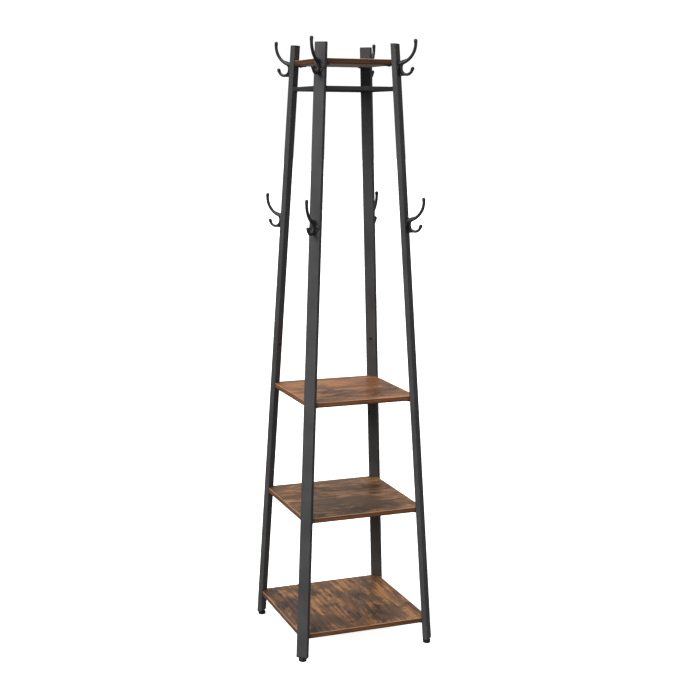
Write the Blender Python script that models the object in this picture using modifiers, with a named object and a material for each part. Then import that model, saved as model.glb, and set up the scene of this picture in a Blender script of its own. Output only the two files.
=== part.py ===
"""A square hall tree: four leaning steel legs carry three shelves, a small top board and eight coat hooks.

Metres, +Z up, standing on z = 0 with the middle of the footprint at the origin and the front towards -Y.
A leg stands on each diagonal of the square and leans towards the middle. A leg's own frame starts on the
floor under its centre line: x points outwards along the diagonal, y runs along the wide face, z is up.
"""

import math

import bmesh
import bpy
from mathutils import Matrix, Vector

GAP = 0.0003  # kept between pieces that touch
WELD = 0.00001  # distance under which two points are one
PAST = 0.008  # how far a cutter goes past what it cuts
CORNER_STEPS = 2  # straight bits in a rounded corner

# Legs: rectangular tubes, in two lengths that plug together
LEG_TOP = 1.7755
FLOOR_REACH = 0.2834  # from the middle to a leg's centre line, at the floor
TOP_REACH = 0.1574  # the same at LEG_TOP
LEG_WIDTH = 0.034
LEG_DEPTH = 0.016
LEG_WALL = 0.0012
LEG_CORNER = 0.002
JOINT_HEIGHT = 0.868
SLEEVE_REACH = 0.040  # how far the joint's sleeve goes into each tube
SLEEVE_WALL = 0.0012
SLEEVE_SCREW_RISE = 0.015  # of the joint's screw above the joint
CAP_THICKNESS = 0.0018
CAP_PLUG = 0.010

# Boards, and the tabs they are screwed to
SHELF_TOPS = {"shelf_bottom": 0.082, "shelf_middle": 0.425, "shelf_upper": 0.762}
TOP_BOARD_DROP = 0.0443  # from LEG_TOP down to the top face of the top board
BOARD_THICKNESS = 0.015
TAB_LENGTH = 0.028
TAB_WIDTH = 0.026
TAB_THICKNESS = 0.0025
TAB_CORNER = 0.006
TAB_WELD = 0.0006  # how far a tab's root sinks into the tube's wall
TAB_SCREW_REACH = 0.013  # from the leg's face to the tab's screw hole
TAB_HOLE_RADIUS = 0.0023

# Tie bars between the legs, under the top board
TIE_BAR_DROP = 0.1262
TIE_BAR_HEIGHT = 0.012
TIE_BAR_DEPTH = 0.010
TIE_BAR_WALL = 0.001
TIE_BAR_CORNER = 0.0015

# Levelling feet
PAD_RADIUS = 0.0118
PAD_HEIGHT = 0.012
PAD_NECK_RADIUS = 0.0085
PAD_ROUND = 0.0035
PAD_SHOULDER = 0.009  # height where the pad starts to narrow to its neck
PAD_FLOOR = 0.003  # of plastic under the stud
STUD_RADIUS = 0.003
STUD_LENGTH = 0.036
PLUG_FLANGE = 0.002
PLUG_HEIGHT = 0.026  # inside the tube

# Coat hooks: heights are those of the plate's centre
TOP_HOOK_DROP = 0.070
LOW_HOOK_HEIGHT = 1.2610
PLATE_HEIGHT = 0.054  # between the lozenge's corners before they are rounded
PLATE_WIDTH = 0.034
PLATE_THICKNESS = 0.003
PLATE_POINT_RADIUS = 0.005
HOOK_SCREW_SPACING = 0.0176
ARM_BAR_RADIUS = 0.0044
LOOP_BAR_RADIUS = 0.0040
BALL_RADIUS = 0.0052
WEB_THICKNESS = 0.0036
ARM_RADIUS = 0.0559  # the upper arm is an arc about ARM_CENTRE
ARM_CENTRE = (-0.0008, 0.0691)
ARM_START, ARM_END = -87.5, 2  # degrees
ARM_RISE = 0.0021  # the straight bit up to the ball
LOOP_RADIUS = 0.0165  # the lower arm is an arc about LOOP_CENTRE
LOOP_CENTRE = (0.0240, -0.0020)
LOOP_END = 335
LOOP_FLARE = 0.0062  # the straight bit out to the ball
BEND_RADIUS = 0.0205  # the arc that joins the loop to the upper arm
BEND_RISE = 0.003  # of that arc's centre above the loop's
BEND_END = 102
WEB_END = -59  # where the upper web leaves the arm, in degrees on the arm's arc
WEB_RISE = 0.0205  # of the upper web on the plate
WEB_DROP = 0.0033  # of the web's lower edge under the loop's centre line

# Screws
HOOK_SCREW_RADIUS = 0.002
HOOK_SCREW_HEAD = 0.0038
SLEEVE_SCREW_RADIUS = 0.0025
SLEEVE_SCREW_HEAD = 0.0042
HEAD_HEIGHT = 0.0022
HEAD_SIDE = 0.0007  # height of a pan head's straight side
CROWN_RADIUS = 0.0029  # where a pan head's top starts to fall, at CROWN_HEIGHT
CROWN_HEIGHT = 0.0019
SCREW_LENGTH = 0.009  # under the head

SLOPE = (FLOOR_REACH - TOP_REACH) / LEG_TOP
LEAN = math.atan(SLOPE)
TUBE_BOTTOM = PAD_HEIGHT + PLUG_FLANGE + 2 * GAP
TUBE_TOP = LEG_TOP - CAP_THICKNESS - GAP
FOOT_AXIS = -SLOPE * (TUBE_BOTTOM + PLUG_HEIGHT / 2)
TOP_HOOK_HEIGHT = LEG_TOP - TOP_HOOK_DROP
BOARD_TOPS = {**SHELF_TOPS, "top_board": LEG_TOP - TOP_BOARD_DROP}
FACING = Matrix(((0, 0, 1, 0), (1, 0, 0, 0), (0, 1, 0, 0), (0, 0, 0, 1)))  # z to x, for plates on a face
UPRIGHT = Matrix.Rotation(math.pi / 2, 4, "X")  # y to z, for outlines seen from the side
CORNERS = {"front_left": -135, "front_right": -45, "back_right": 45, "back_left": 135}
SIDES = {"front": 0, "right": 90, "back": 180, "left": 270}

for old in list(bpy.data.objects):
    bpy.data.objects.remove(old)
parts = bpy.data.collections.new("hall_tree")
workshop = bpy.data.collections.new("cutters")
workshop.hide_render = True
for collection in (parts, workshop):
    bpy.context.scene.collection.children.link(collection)


def finish(name, colour, roughness, metallic):
    material = bpy.data.materials.new(name)
    material.use_nodes = True
    shader = material.node_tree.nodes["Principled BSDF"]
    shader.inputs["Base Color"].default_value = (*colour, 1)
    shader.inputs["Roughness"].default_value = roughness
    shader.inputs["Metallic"].default_value = metallic
    return material


def work_object(name, data):
    """A working object: it is shown as a wire and isn't rendered."""
    piece = bpy.data.objects.new(name, data)
    piece.display_type = "WIRE"
    piece.hide_render = True
    workshop.objects.link(piece)
    return piece


def finished_mesh(piece):
    """The mesh that a working object's curve or modifiers make, welded."""
    graph = bpy.context.evaluated_depsgraph_get()
    mesh = bpy.data.meshes.new_from_object(piece.evaluated_get(graph))
    work = bmesh.new()
    work.from_mesh(mesh)
    bmesh.ops.remove_doubles(work, verts=work.verts, dist=WELD)
    work.to_mesh(mesh)
    work.free()
    return mesh


def taken_mesh(piece):
    """As finished_mesh, and the working object is removed."""
    mesh = finished_mesh(piece)
    bpy.data.objects.remove(piece)
    return mesh


def rounded(corners, radius, steps=CORNER_STEPS):
    """A closed outline through these corners, each one rounded by an arc."""
    points = []
    for i, corner in enumerate(corners):
        here = Vector(corner)
        back = (Vector(corners[i - 1]) - here).normalized()
        ahead = (Vector(corners[(i + 1) % len(corners)]) - here).normalized()
        half = back.angle(ahead) / 2
        centre = here + (back + ahead).normalized() * radius / math.sin(half)
        start = (here + back * radius / math.tan(half) - centre).normalized()
        end = (here + ahead * radius / math.tan(half) - centre).normalized()
        points += [centre + radius * start.slerp(end, k / steps) for k in range(steps + 1)]
    return points


def rectangle(width, height, radius):
    x, y = width / 2, height / 2
    return rounded([(x, y), (-x, y), (-x, -y), (x, -y)], radius)


def circle(centre, radius, sides=12):
    angles = [2 * math.pi * k / sides for k in range(sides)]
    return [(centre[0] + radius * math.cos(a), centre[1] + radius * math.sin(a)) for a in angles]


def arc(centre, radius, start, end, steps):
    """Points on an arc, from one angle in degrees to the other."""
    angles = [math.radians(start + (end - start) * k / steps) for k in range(steps + 1)]
    return [Vector((centre[0] + radius * math.cos(a), centre[1] + radius * math.sin(a))) for a in angles]


def plate(thickness, outline, *holes):
    """A flat piece, centred on z = 0."""
    curve = bpy.data.curves.new("outline", "CURVE")
    curve.dimensions = "2D"
    curve.fill_mode = "BOTH"
    curve.extrude = thickness / 2
    for loop in (outline, *holes):
        spline = curve.splines.new("POLY")
        spline.points.add(len(loop) - 1)
        for point, (x, y) in zip(spline.points, loop):
            point.co = (x, y, 0, 1)
        spline.use_cyclic_u = True
    return taken_mesh(work_object("outline", curve))


def round_bar(points, radius):
    """A round bar along points of the x-z plane, with flat ends."""
    curve = bpy.data.curves.new("bar", "CURVE")
    curve.dimensions = "3D"
    curve.bevel_depth = radius
    curve.bevel_resolution = 2
    curve.use_fill_caps = True
    spline = curve.splines.new("POLY")
    spline.points.add(len(points) - 1)
    for point, (x, z) in zip(spline.points, points):
        point.co = (x, 0, z, 1)
    return taken_mesh(work_object("bar", curve))


def turned(profile, steps):
    """A turned piece about z, from (radius, height) points that run down its outer side."""
    mesh = bpy.data.meshes.new("profile")
    edges = [(i, i + 1) for i in range(len(profile) - 1)]
    mesh.from_pydata([(radius, 0, height) for radius, height in profile], edges, [])
    piece = work_object("profile", mesh)
    screw = piece.modifiers.new("turn", "SCREW")
    screw.steps = screw.render_steps = steps
    screw.use_merge_vertices = True
    screw.merge_threshold = WELD
    return taken_mesh(piece)


def ball(centre, radius):
    work = bmesh.new()
    place = Matrix.Translation((centre[0], 0, centre[1]))
    bmesh.ops.create_uvsphere(work, u_segments=8, v_segments=6, radius=radius, matrix=place)
    mesh = bpy.data.meshes.new("ball")
    work.to_mesh(mesh)
    work.free()
    return mesh


def moved(mesh, *matrices):
    """The mesh itself, put through these matrices, the last one first."""
    for matrix in reversed(matrices):
        mesh.transform(matrix)
    return mesh


def joined(name, base, *, add=(), cut=()):
    """One mesh: the base with some meshes added and then others cut from it."""
    piece = work_object(name, base)
    for operation, tools in (("UNION", add), ("DIFFERENCE", cut)):
        for tool in tools:
            boolean = piece.modifiers.new(operation.lower(), "BOOLEAN")
            boolean.operation = operation
            boolean.solver = "EXACT"
            boolean.object = work_object(f"{name}_{operation.lower()}", tool)
    return finished_mesh(piece)


def leaning(mesh):
    """The mesh sheared along a leg's centre line, so that level faces stay level."""
    shear = Matrix.Identity(4)
    shear[0][2] = -SLOPE
    return moved(mesh, shear)


def centre_reach(height):
    return FLOOR_REACH - SLOPE * height


def inner_reach(height):
    """From the middle to just short of a leg's inner face, at this height."""
    return centre_reach(height) - LEG_DEPTH / math.cos(LEAN) / 2 - GAP


def half_side(height):
    """Half the side of a square whose cut corners are as wide as a leg."""
    return (inner_reach(height) + LEG_WIDTH / 2) / math.sqrt(2)


def on_leg(height, facing=1):
    """A frame on a leg's outer face (1) or inner face (-1): x leaves the face, z runs up the leg."""
    centre = Matrix.Translation((-SLOPE * height, 0, height)) @ Matrix.Rotation(-LEAN, 4, "Y")
    turn = Matrix.Rotation(0 if facing == 1 else math.pi, 4, "Z")
    return centre @ turn @ Matrix.Translation((LEG_DEPTH / 2, 0, 0))


def leg_section(inset):
    """The tube's level section, shrunk by this much all round."""
    depth = LEG_DEPTH / math.cos(LEAN) - 2 * inset
    return rectangle(depth, LEG_WIDTH - 2 * inset, max(LEG_CORNER - inset, LEG_CORNER / 4))


def leg_prism(bottom, top, inset, *holes):
    """A level-ended length of the leg's section, or of a tube when there is a hole."""
    middle = Matrix.Translation((0, 0, (bottom + top) / 2))
    return leaning(moved(plate(top - bottom, leg_section(inset), *holes), middle))


def tab(board_top):
    """The flat tab under one corner of a board, with its root in the tube's wall."""
    root = inner_reach(board_top - BOARD_THICKNESS) + GAP - FLOOR_REACH + TAB_WELD
    tip = root - TAB_WELD - TAB_LENGTH
    side = TAB_WIDTH / 2
    front = rounded([(tip, side), (tip, -side), (root, -side), (root, side)], TAB_CORNER)
    outline = front[: 2 * (CORNER_STEPS + 1)] + [(root, -side), (root, side)]
    hole = circle((root - TAB_WELD - TAB_SCREW_REACH, 0), TAB_HOLE_RADIUS)
    height = board_top - BOARD_THICKNESS - GAP - TAB_THICKNESS / 2
    return moved(plate(TAB_THICKNESS, outline, hole), Matrix.Translation((0, 0, height)))


def screw_hole(place, radius, depth):
    """A cutter for a hole from a face inwards, along the face's own -x."""
    pin = turned([(0, GAP), (radius, GAP), (radius, -depth), (0, -depth)], 12)
    return moved(pin, place, FACING)


def lower_leg_mesh():
    """The lower tube with its shelf tabs and the joint's sleeve welded in."""
    tube = leg_prism(TUBE_BOTTOM, JOINT_HEIGHT, 0, leg_section(LEG_WALL))
    root = leg_prism(JOINT_HEIGHT - SLEEVE_REACH, JOINT_HEIGHT - GAP, LEG_WALL - GAP)
    spigot = leg_prism(JOINT_HEIGHT - 2 * GAP, JOINT_HEIGHT + SLEEVE_REACH, LEG_WALL + GAP)
    tabs = [tab(top) for top in BOARD_TOPS.values() if top < JOINT_HEIGHT]
    reach = SLEEVE_REACH + PAST
    bore = leg_prism(JOINT_HEIGHT - reach, JOINT_HEIGHT + reach, LEG_WALL + GAP + SLEEVE_WALL)
    hole = screw_hole(on_leg(JOINT_HEIGHT + SLEEVE_SCREW_RISE, -1), SLEEVE_SCREW_RADIUS + GAP, LEG_DEPTH / 2)
    return joined("lower_leg", tube, add=[root, spigot, *tabs], cut=[bore, hole])


def hook_screw_places():
    """The axis frames of a hook's two screws, in the hook's frame."""
    return [Matrix.Translation((0, side * HOOK_SCREW_SPACING / 2, 0)) for side in (-1, 1)]


def upper_leg_mesh():
    """The upper tube with its tab, and the holes for the joint's screw and the hooks' screws."""
    tube = leg_prism(JOINT_HEIGHT + GAP, TUBE_TOP, 0, leg_section(LEG_WALL))
    tabs = [tab(top) for top in BOARD_TOPS.values() if top > JOINT_HEIGHT]
    depth = LEG_DEPTH / 2
    holes = [screw_hole(on_leg(JOINT_HEIGHT + SLEEVE_SCREW_RISE, -1), SLEEVE_SCREW_RADIUS + GAP, depth)]
    for height in (LOW_HOOK_HEIGHT, TOP_HOOK_HEIGHT):
        for place in hook_screw_places():
            holes.append(screw_hole(on_leg(height) @ place, HOOK_SCREW_RADIUS + GAP, depth))
    return joined("upper_leg", tube, add=tabs, cut=holes)


def screw_mesh(radius, head_radius, countersunk):
    """A screw along z with its head's underside, or its countersunk rim, at z = 0."""
    if countersunk:
        head = [(0, 0), (head_radius, 0), (radius, radius - head_radius)]
    else:
        crown = [(0, HEAD_HEIGHT), (CROWN_RADIUS, CROWN_HEIGHT), (head_radius, HEAD_SIDE)]
        head = [*crown, (head_radius, 0), (radius, 0)]
    return turned([*head, (radius, -SCREW_LENGTH), (0, -SCREW_LENGTH)], 10)


def countersink(place):
    """A cutter for a countersunk hole through a hook's plate."""
    rim = HOOK_SCREW_HEAD + GAP
    shank = HOOK_SCREW_RADIUS + GAP
    top = PLATE_THICKNESS + GAP
    profile = [(0, 2 * top), (rim, 2 * top), (rim, top), (shank, top - rim + shank), (shank, -top), (0, -top)]
    return moved(turned(profile, 10), place, FACING)


def arm_points():
    """The centre line of the upper arm, from inside the plate up to its ball."""
    bend = arc(ARM_CENTRE, ARM_RADIUS, ARM_START, ARM_END, 9)
    return bend + [bend[-1] + Vector((0, ARM_RISE))]


def loop_points():
    """The centre line of the lower arm, from the upper arm round past the plate to its ball."""
    bend_centre = (LOOP_CENTRE[0] - LOOP_RADIUS + BEND_RADIUS, LOOP_CENTRE[1] + BEND_RISE)
    bend = arc(bend_centre, BEND_RADIUS, BEND_END, 180, 4)
    loop = arc(LOOP_CENTRE, LOOP_RADIUS, 180, LOOP_END, 8)
    ahead = math.radians(LOOP_END + 90)
    return bend + loop + [loop[-1] + LOOP_FLARE * Vector((math.cos(ahead), math.sin(ahead)))]


def web_outline(loop):
    """The flat web that fills between the plate and both arms, seen from the side."""
    back = PLATE_THICKNESS / 2
    meeting = -math.degrees(math.acos((loop[0].x - ARM_CENTRE[0]) / ARM_RADIUS))
    along_arm = arc(ARM_CENTRE, ARM_RADIUS, WEB_END, meeting, 2)
    tip = along_arm[0] + Vector((0, ARM_BAR_RADIUS))
    foot = LOOP_CENTRE[1] - LOOP_RADIUS - WEB_DROP
    along_loop = [p for p in loop if p.x < LOOP_CENTRE[0] + LOOP_BAR_RADIUS / 2]
    return [(back, WEB_RISE), tip, *along_arm, *along_loop, (along_loop[-1].x, foot), (back, foot)]


def coat_hook_mesh():
    """A double hook: a lozenge plate, an upper arm, a lower loop and the web between them."""
    tall, wide = PLATE_HEIGHT / 2, PLATE_WIDTH / 2
    lozenge = rounded([(wide, 0), (0, tall), (-wide, 0), (0, -tall)], PLATE_POINT_RADIUS, 3)
    forward = Matrix.Translation((GAP + PLATE_THICKNESS / 2, 0, 0))
    base = moved(plate(PLATE_THICKNESS, lozenge), forward, FACING)
    arm, loop = arm_points(), loop_points()
    web = moved(plate(WEB_THICKNESS, web_outline(loop)), UPRIGHT)
    bars = [round_bar(arm, ARM_BAR_RADIUS), round_bar(loop, LOOP_BAR_RADIUS)]
    balls = [ball(arm[-1], BALL_RADIUS), ball(loop[-1], BALL_RADIUS)]
    return joined("coat_hook", base, add=[web, *bars, *balls], cut=map(countersink, hook_screw_places()))


def foot_pad_mesh():
    """The foot's round pad, with a rounded rim, a neck and the stud's blind hole."""
    bore = STUD_RADIUS + GAP
    rim = arc((PAD_RADIUS - PAD_ROUND, PAD_ROUND), PAD_ROUND, 0, -90, 3)
    outer = [(bore, PAD_HEIGHT), (PAD_NECK_RADIUS, PAD_HEIGHT), (PAD_RADIUS, PAD_SHOULDER), *rim, (0, 0)]
    return turned([(0, PAD_FLOOR), (bore, PAD_FLOOR), *outer], 20)


def foot_stud_mesh():
    """The foot's threaded stud, plain here, standing in the pad's hole."""
    foot, tip = PAD_FLOOR + GAP, PAD_FLOOR + GAP + STUD_LENGTH
    point = STUD_RADIUS / 4
    side = [(STUD_RADIUS - point, tip), (STUD_RADIUS, tip - point), (STUD_RADIUS, foot)]
    return turned([(0, tip), *side, (0, foot)], 12)


def foot_plug_mesh():
    """The insert in a leg's lower end, with a flange under the tube and the stud's hole."""
    flange = leg_prism(TUBE_BOTTOM - GAP - PLUG_FLANGE, TUBE_BOTTOM - GAP, 0)
    insert = leg_prism(TUBE_BOTTOM - 2 * GAP, TUBE_BOTTOM + PLUG_HEIGHT, LEG_WALL + GAP)
    top = TUBE_BOTTOM + PLUG_HEIGHT + PAST
    radius = STUD_RADIUS + GAP
    hole = turned([(0, top), (radius, top), (radius, 0), (0, 0)], 12)
    hole = moved(hole, Matrix.Translation((FOOT_AXIS, 0, 0)))
    return joined("foot_plug", flange, add=[insert], cut=[hole])


def leg_cap_mesh():
    """The cap on a leg's upper end, with its plug inside the tube."""
    lid = leg_prism(LEG_TOP - CAP_THICKNESS, LEG_TOP, 0)
    insert = leg_prism(TUBE_TOP - CAP_PLUG, LEG_TOP - CAP_THICKNESS / 2, LEG_WALL + GAP)
    return joined("leg_cap", lid, add=[insert])


def board_mesh(top):
    """A square board whose corners are cut to sit against the legs' inner faces."""
    side = half_side(top)
    cut = inner_reach(top) * math.sqrt(2) - side
    corners = [(side, cut), (cut, side), (-cut, side), (-side, cut)]
    outline = corners + [(-x, -y) for x, y in corners]
    return plate(BOARD_THICKNESS, outline)


def tie_bar_mesh():
    """The front tie bar, mitred against the two legs that it runs between."""
    height = LEG_TOP - TIE_BAR_DROP
    reach = half_side(height)
    hole = rectangle(TIE_BAR_DEPTH - 2 * TIE_BAR_WALL, TIE_BAR_HEIGHT - 2 * TIE_BAR_WALL, TIE_BAR_CORNER / 2)
    tube = plate(2 * reach, rectangle(TIE_BAR_DEPTH, TIE_BAR_HEIGHT, TIE_BAR_CORNER), hole)
    place = Matrix.Translation((0, TIE_BAR_DEPTH / 2 - reach, height))
    inner = inner_reach(height) - centre_reach(height)
    outline = [(inner, -reach), (reach, -reach), (reach, reach), (inner, reach)]
    mitres = []
    for corner in ("front_left", "front_right"):
        block = moved(plate(2 * TIE_BAR_HEIGHT, outline), Matrix.Translation((0, 0, height)))
        mitres.append(moved(leaning(block), leg_frame(corner)))
    return joined("tie_bar", moved(tube, place, FACING), cut=mitres)


def leg_frame(corner):
    turn = Matrix.Rotation(math.radians(CORNERS[corner]), 4, "Z")
    return turn @ Matrix.Translation((FLOOR_REACH, 0, 0))


def put(name, mesh, material, parent=None, place=None):
    """One piece of the hall tree, in its parent's frame."""
    if not mesh.materials:
        mesh.materials.append(material)
    mesh.shade_smooth()
    mesh.set_sharp_from_angle(angle=math.radians(35))
    piece = bpy.data.objects.new(name, mesh)
    piece.parent = parent
    piece.matrix_local = place or Matrix.Identity(4)
    parts.objects.link(piece)
    return piece


def put_hook(level, corner, height, frame):
    """A coat hook on a leg's outer face, with its two screws."""
    hook = put(f"coat_hook_{level}_{corner}", coat_hook, hook_finish, frame, on_leg(height))
    for letter, place in zip("ab", hook_screw_places()):
        seat = place @ Matrix.Translation((GAP + PLATE_THICKNESS, 0, 0)) @ FACING
        put(f"hook_screw_{level}_{corner}_{letter}", hook_screw, screw_finish, hook, seat)


def put_leg(corner):
    """A leg with everything that is fixed to it."""
    frame = bpy.data.objects.new(f"frame_{corner}", None)
    frame.matrix_world = leg_frame(corner)
    parts.objects.link(frame)
    put(f"lower_leg_{corner}", lower_leg, steel_finish, frame)
    put(f"upper_leg_{corner}", upper_leg, steel_finish, frame)
    put(f"leg_cap_{corner}", leg_cap, plastic_finish, frame)
    put(f"foot_plug_{corner}", foot_plug, plastic_finish, frame)
    foot = Matrix.Translation((FOOT_AXIS, 0, 0))
    put(f"foot_pad_{corner}", foot_pad, plastic_finish, frame, foot)
    put(f"foot_stud_{corner}", foot_stud, screw_finish, frame, foot)
    seat = on_leg(JOINT_HEIGHT + SLEEVE_SCREW_RISE, -1) @ Matrix.Translation((GAP, 0, 0)) @ FACING
    put(f"sleeve_screw_{corner}", sleeve_screw, screw_finish, frame, seat)
    put_hook("top", corner, TOP_HOOK_HEIGHT, frame)
    put_hook("low", corner, LOW_HOOK_HEIGHT, frame)


steel_finish = finish("black_powder_coat", (0.075, 0.075, 0.078), 0.55, 0.0)
hook_finish = finish("black_hook_coat", (0.05, 0.05, 0.052), 0.5, 0.0)
screw_finish = finish("blackened_screw_steel", (0.03, 0.03, 0.032), 0.4, 0.8)
plastic_finish = finish("black_plastic", (0.02, 0.02, 0.02), 0.5, 0.0)
board_finish = finish("rustic_brown_board", (0.24, 0.11, 0.045), 0.6, 0.0)

lower_leg = lower_leg_mesh()
upper_leg = upper_leg_mesh()
leg_cap = leg_cap_mesh()
foot_plug = foot_plug_mesh()
foot_pad = foot_pad_mesh()
foot_stud = foot_stud_mesh()
coat_hook = coat_hook_mesh()
hook_screw = screw_mesh(HOOK_SCREW_RADIUS, HOOK_SCREW_HEAD, True)
sleeve_screw = screw_mesh(SLEEVE_SCREW_RADIUS, SLEEVE_SCREW_HEAD, False)
tie_bar = tie_bar_mesh()

for name in CORNERS:
    put_leg(name)
for name, angle in SIDES.items():
    put(f"tie_bar_{name}", tie_bar, steel_finish, place=Matrix.Rotation(math.radians(angle), 4, "Z"))
for name, top in BOARD_TOPS.items():
    middle = Matrix.Translation((0, 0, top - BOARD_THICKNESS / 2))
    put(name, board_mesh(top), board_finish, place=middle)
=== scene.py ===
"""A square hall tree: four leaning steel legs, three rustic shelves, a small top board and eight coat hooks.

Metres, +Z up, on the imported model's frame. A leg's own frame starts on the floor under its centre line, with
x out along the square's diagonal, y along the leg's wide face and z up.
"""

import math

import bpy
import numpy as np
from mathutils import Matrix, Vector


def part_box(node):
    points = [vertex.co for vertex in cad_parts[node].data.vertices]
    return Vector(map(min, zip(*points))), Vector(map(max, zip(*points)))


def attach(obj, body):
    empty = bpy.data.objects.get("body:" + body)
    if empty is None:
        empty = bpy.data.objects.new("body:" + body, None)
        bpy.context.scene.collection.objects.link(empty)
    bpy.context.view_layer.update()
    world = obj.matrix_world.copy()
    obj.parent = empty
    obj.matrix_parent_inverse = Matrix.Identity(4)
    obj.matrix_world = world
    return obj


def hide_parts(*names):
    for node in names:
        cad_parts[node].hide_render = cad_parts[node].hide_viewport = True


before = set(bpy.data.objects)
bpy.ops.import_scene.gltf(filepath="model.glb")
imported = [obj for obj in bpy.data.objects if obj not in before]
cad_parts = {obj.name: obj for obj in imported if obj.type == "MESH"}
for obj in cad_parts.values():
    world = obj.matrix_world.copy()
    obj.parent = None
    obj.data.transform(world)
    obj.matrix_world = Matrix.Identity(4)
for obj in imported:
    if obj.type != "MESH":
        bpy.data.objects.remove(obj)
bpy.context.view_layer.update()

GAP = 0.0003  # kept between pieces that touch
GUARD = 0.0004  # flat strip beside a rounding, which keeps the flats flat when they are shaded smooth

# Legs
LEG_TOP = 1.7755
FLOOR_REACH = 0.2834
TOP_REACH = 0.1574
LEG_WIDTH = 0.034
LEG_DEPTH = 0.016
LEG_WALL = 0.0012
LEG_CORNER = 0.002
LEG_ARRIS = 0.0006
JOINT_HEIGHT = 0.868
SLEEVE_REACH = 0.040
SLEEVE_SCREW_RISE = 0.015
CAP_THICKNESS = 0.0018
CAP_ARRIS = 0.0007
CAP_PLUG = 0.010
TUBE_BOTTOM = 0.0146

# Tabs and tie bars, with their weld beads
TAB_LENGTH = 0.028
TAB_WIDTH = 0.026
TAB_THICKNESS = 0.0025
TAB_CORNER = 0.006
TAB_ARRIS = 0.0004
TAB_WELD = 0.0006
TAB_SCREW_REACH = 0.013
TIE_BAR_HEIGHT = 0.012
TIE_BAR_DEPTH = 0.010
TIE_BAR_CORNER = 0.0015
BEAD_RADIUS = 0.0012
BEAD_RIPPLE = 0.12  # share of the bead's radius
BEAD_SHORT = 0.002  # that a tab's bead stops short of its sides

# Boards
BOARD_ARRIS = 0.0013
BOARD_CORNER = 0.0025

# Coat hooks, in their own frame: x leaves the leg's face and z runs up the leg
TOP_HOOK_HEIGHT = 1.7055
LOW_HOOK_HEIGHT = 1.2610
PLATE_HEIGHT = 0.054
PLATE_WIDTH = 0.034
PLATE_THICKNESS = 0.003
PLATE_CORNER = 0.005
PLATE_ARRIS = 0.0008
PLATE_CROWN = 0.0006
HOOK_SCREW_SPACING = 0.0176
ARM_BAR_RADIUS = 0.0046
LOOP_BAR_RADIUS = 0.0042
BALL_RADIUS = 0.0054
ARM_ROOT, LOOP_ROOT = 0.0009, 0.0003  # added to a bar's radius at its root
ROOT_LENGTH = 0.02
WEB_THICKNESS = 0.0036
ARM_CENTRE, ARM_RADIUS = np.array((-0.0008, 0.0691)), 0.0559
ARM_START, ARM_END, ARM_RISE = -87.5, 2, 0.0021
LOOP_CENTRE, LOOP_RADIUS = np.array((0.0240, -0.0020)), 0.0165
LOOP_END, LOOP_FLARE = 335, 0.0062
BEND_RADIUS, BEND_RISE, BEND_END = 0.0205, 0.003, 102
WEB_END, WEB_RISE = -59, 0.0205
CAST_GRAIN = 0.0006  # side of the squares that a hook's surfaces are fused on

# Screws and feet
HOOK_SCREW_RADIUS, HOOK_SCREW_HEAD, HOOK_SCREW_DOME = 0.0020, 0.0038, 0.0007
PAN_SCREW_RADIUS, PAN_SCREW_HEAD, PAN_SCREW_DOME = 0.0025, 0.0042, 0.0021
BOARD_SCREW_RADIUS, BOARD_SCREW_HEAD, BOARD_SCREW_DOME = 0.0019, 0.0041, 0.0019
SCREW_LENGTH, SCREW_COLUMNS = 0.009, 48
PAN_SIDE, CROWN_FULLNESS = 0.35, 0.9  # a pan head's upright side is this share of its dome
RECESS_REACH, RECESS_DEPTH = 0.55, 0.0011  # the reach is a share of the head's radius
PAD_HEIGHT, PAD_NECK_RADIUS, PAD_ROUND, PAD_SHOULDER, PAD_FLOOR = 0.012, 0.0085, 0.0035, 0.009, 0.003
PAD_FLUTES, PAD_FLUTE_DEPTH, PAD_COLUMNS = 24, 0.03, 96
STUD_RADIUS, STUD_LENGTH, THREAD_PITCH, THREAD_DEPTH, THREAD_FADE = 0.003, 0.036, 0.001, 0.0005, 0.0012

SLOPE = (FLOOR_REACH - TOP_REACH) / LEG_TOP
LEAN = math.atan(SLOPE)
TUBE_TOP = LEG_TOP - CAP_THICKNESS - GAP
FACING = Matrix(((0, 0, 1, 0), (1, 0, 0, 0), (0, 1, 0, 0), (0, 0, 0, 1)))  # z to x
CORNERS = {"front_left": -135, "front_right": -45, "back_right": 45, "back_left": 135}
SIDES = {"front": 0, "right": 90, "back": 180, "left": 270}
BOARDS = ("shelf_bottom", "shelf_middle", "shelf_upper", "top_board")


# Surfaces: each is an array of rings x points x 3


def unit(vectors):
    """The vectors over their lengths."""
    return vectors / np.linalg.norm(vectors, axis=-1, keepdims=True)


def rounded(corners, radius, steps=6):
    """An outline with rounded corners: its points, their outward normals and how far each is into a corner.

    A corner's arc turns from one side's normal to the other's in equal angles, with a point beside each end.
    """
    here = np.asarray(corners, float)
    back, ahead = unit(np.roll(here, 1, 0) - here), unit(np.roll(here, -1, 0) - here)
    half = np.arccos(np.sum(back * ahead, 1, keepdims=True)) / 2
    centre = here + unit(back + ahead) * radius / np.sin(half)
    first = unit(here + back * radius / np.tan(half) - centre)[:, None]
    last = unit(here + ahead * radius / np.tan(half) - centre)[:, None]
    turn, share = (math.pi - 2 * half)[:, None], np.linspace(0, 1, steps + 1)[None, :, None]
    normals = (np.sin((1 - share) * turn) * first + np.sin(share * turn) * last) / np.sin(turn)
    arcs = centre[:, None] + radius * normals
    before, after = arcs[:, :1] + GUARD * back[:, None], arcs[:, -1:] + GUARD * ahead[:, None]
    points = np.concatenate([before, arcs, after], 1)
    normals = np.concatenate([normals[:, :1], normals, normals[:, -1:]], 1)
    turned_in = np.tile(np.concatenate([[0], np.sin(math.pi * share.ravel()), [0]]), len(here))
    return points.reshape(-1, 2), normals.reshape(-1, 2), turned_in


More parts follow.
